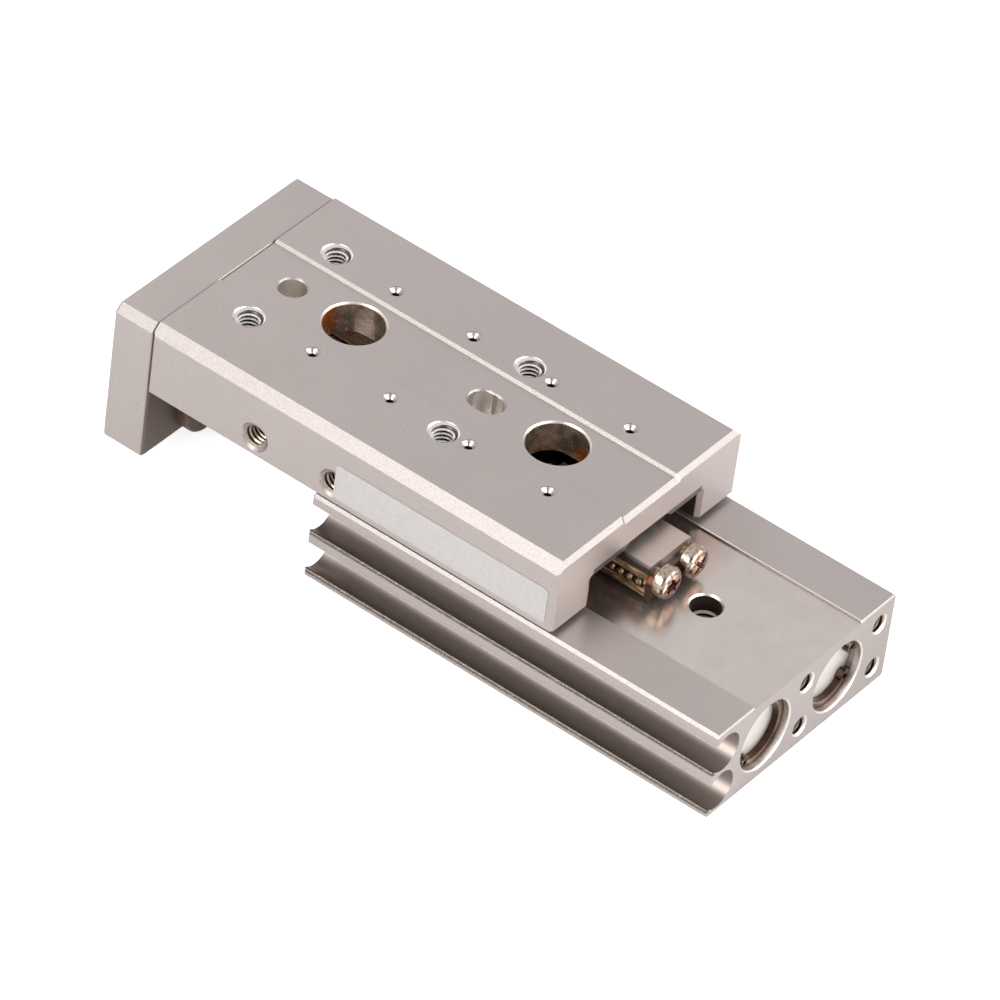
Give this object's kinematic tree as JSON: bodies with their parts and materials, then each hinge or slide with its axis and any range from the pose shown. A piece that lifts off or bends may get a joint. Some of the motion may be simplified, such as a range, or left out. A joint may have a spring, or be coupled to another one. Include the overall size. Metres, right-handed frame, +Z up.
{
  "type": "pneumatic slide table",
  "caption": "Compact pneumatic slide table: a low twin-bore cylinder body with a ball guide on top, and a wide table with an end plate that slides out over its stroke.",
  "frame": {"origin": "centre of the cylinder body's underside, which is screwed down", "axes": "+X the way the table extends, +Y the side with the sensor grooves, +Z up out of the table's top"},
  "size_m": [0.0778, 0.0302, 0.02],
  "materials": {
    "anodised_aluminium": "bead-blasted, clear anodised, satin",
    "plain_aluminium": "turned",
    "ground_steel": "ground",
    "bright_steel": "bright",
    "dark_screw": "black oxide",
    "amber_plastic": "glossy, slightly clear",
    "seal_rubber": "matt",
    "urethane": "satin",
    "bonded_magnet": "matt"
  },
  "bodies": {
    "base": {"body": "anodised_aluminium", "guide_block": "ground_steel", "guide_block_screws": "dark_screw", "return_cap_front": "amber_plastic", "return_cap_rear": "amber_plastic", "return_cap_screws": "bright_steel", "balls_near": "bright_steel", "balls_far": "bright_steel", "ball_keeper_near": "amber_plastic", "ball_keeper_far": "amber_plastic", "bore_cap_near": "plain_aluminium", "bore_cap_far": "plain_aluminium", "cap_o_ring_near": "seal_rubber", "cap_o_ring_far": "seal_rubber", "rear_retaining_ring_near": "bright_steel", "rear_retaining_ring_far": "bright_steel", "front_retaining_ring_near": "bright_steel", "front_retaining_ring_far": "bright_steel", "rod_cover_near": "plain_aluminium", "rod_cover_far": "plain_aluminium", "rod_seal_near": "seal_rubber", "rod_seal_far": "seal_rubber"},
    "carriage": {"table": "anodised_aluminium", "end_plate": "anodised_aluminium", "plate_screws": "dark_screw", "rail_near": "ground_steel", "rail_far": "ground_steel", "rail_pins": "bright_steel", "piston_rod_near": "bright_steel", "piston_rod_far": "bright_steel", "rod_bumper_near": "urethane", "rod_bumper_far": "urethane", "rod_bolts": "dark_screw", "piston_near": "plain_aluminium", "piston_far": "plain_aluminium", "piston_seal_near": "seal_rubber", "piston_seal_far": "seal_rubber", "magnet_near": "bonded_magnet", "magnet_far": "bonded_magnet", "piston_cushions": "seal_rubber"}
  },
  "joints": [
    {"name": "table_slide", "type": "slide", "parent": "base", "child": "carriage", "axis": [1, 0, 0], "range_m": [-0.02, 0]}
  ]
}
